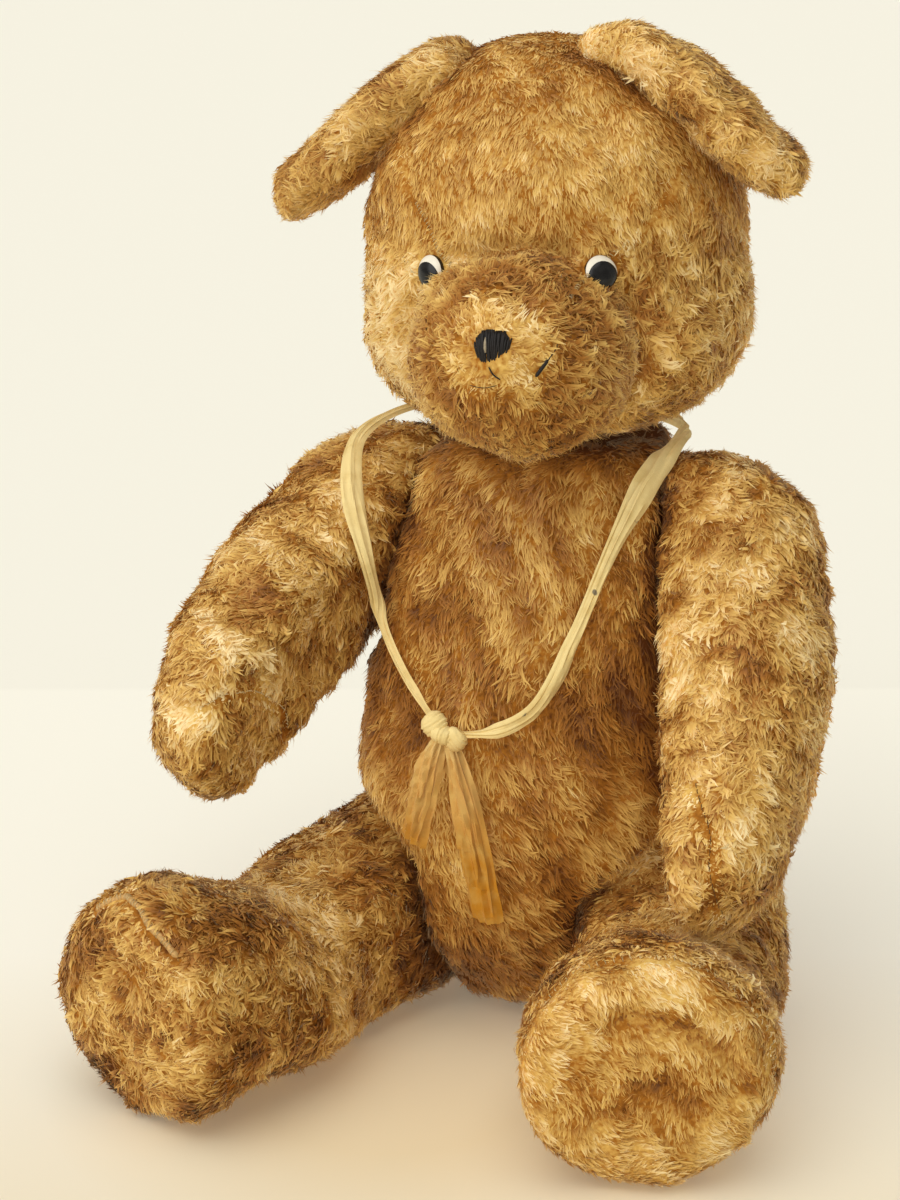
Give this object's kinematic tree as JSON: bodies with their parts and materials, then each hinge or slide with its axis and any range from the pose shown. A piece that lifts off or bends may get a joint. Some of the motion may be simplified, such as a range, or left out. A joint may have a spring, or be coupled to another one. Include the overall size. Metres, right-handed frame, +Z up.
{
  "type": "teddy bear",
  "caption": "Old sitting plush teddy bear with disc-jointed head, arms and legs, drooping ears, button eyes, a stitched nose and a cotton ribbon tied round its neck.",
  "frame": {"origin": "middle of the flat seat the bear rests on", "axes": "+Z up, -Y the way the torso faces, +X towards the bear's own left side"},
  "size_m": [0.3525, 0.3608, 0.4955],
  "materials": {
    "plush": "worn curly mohair pile",
    "ribbon_cotton": "creased cotton",
    "button": "black with a painted white crescent",
    "nose_thread": "close parallel stitches",
    "hardboard": "pressed board",
    "steel": "plain"
  },
  "bodies": {
    "torso": {"torso": "plush", "neck_ribbon": "ribbon_cotton", "disc_neck_body": "hardboard", "washer_neck_body": "steel", "cotter_pin_neck": "steel", "disc_shoulder_left_body": "hardboard", "washer_shoulder_left_body": "steel", "cotter_pin_shoulder_left": "steel", "disc_shoulder_right_body": "hardboard", "washer_shoulder_right_body": "steel", "cotter_pin_shoulder_right": "steel", "disc_hip_left_body": "hardboard", "washer_hip_left_body": "steel", "cotter_pin_hip_left": "steel", "disc_hip_right_body": "hardboard", "washer_hip_right_body": "steel", "cotter_pin_hip_right": "steel"},
    "head": {"head": "plush", "disc_neck_limb": "hardboard", "washer_neck_limb": "steel", "ear_left": "plush", "ear_right": "plush", "eye_left": "button", "eye_right": "button", "nose_stitching": "nose_thread"},
    "arm_left": {"arm_left": "plush", "disc_shoulder_left_limb": "hardboard", "washer_shoulder_left_limb": "steel"},
    "arm_right": {"arm_right": "plush", "disc_shoulder_right_limb": "hardboard", "washer_shoulder_right_limb": "steel"},
    "leg_left": {"leg_left": "plush", "disc_hip_left_limb": "hardboard", "washer_hip_left_limb": "steel"},
    "leg_right": {"leg_right": "plush", "disc_hip_right_limb": "hardboard", "washer_hip_right_limb": "steel"}
  },
  "joints": [
    {"name": "neck_swivel", "type": "hinge", "parent": "torso", "child": "head", "pos_m": [0, 0.018, 0.2945], "axis": [0, 0.1045, 0.9945], "continuous": true, "deforming": ["neck_ribbon"]},
    {"name": "shoulder_left_swing", "type": "hinge", "parent": "torso", "child": "arm_left", "pos_m": [0.061, 0, 0.243], "axis": [-0.9686, -0.2059, -0.1392], "range_deg": [-1, 88]},
    {"name": "shoulder_right_swing", "type": "hinge", "parent": "torso", "child": "arm_right", "pos_m": [-0.061, 0, 0.243], "axis": [-0.9744, 0.2071, 0.0872], "range_deg": [-18, 57]},
    {"name": "hip_left_swing", "type": "hinge", "parent": "torso", "child": "leg_left", "pos_m": [0.0225, 0.005, 0.053], "axis": [0.9656, 0.2587, 0.0262], "range_deg": [0, 90]},
    {"name": "hip_right_swing", "type": "hinge", "parent": "torso", "child": "leg_right", "pos_m": [-0.0195, -0.022, 0.053], "axis": [0.9423, -0.3337, -0.0262], "range_deg": [-2, 90]}
  ]
}
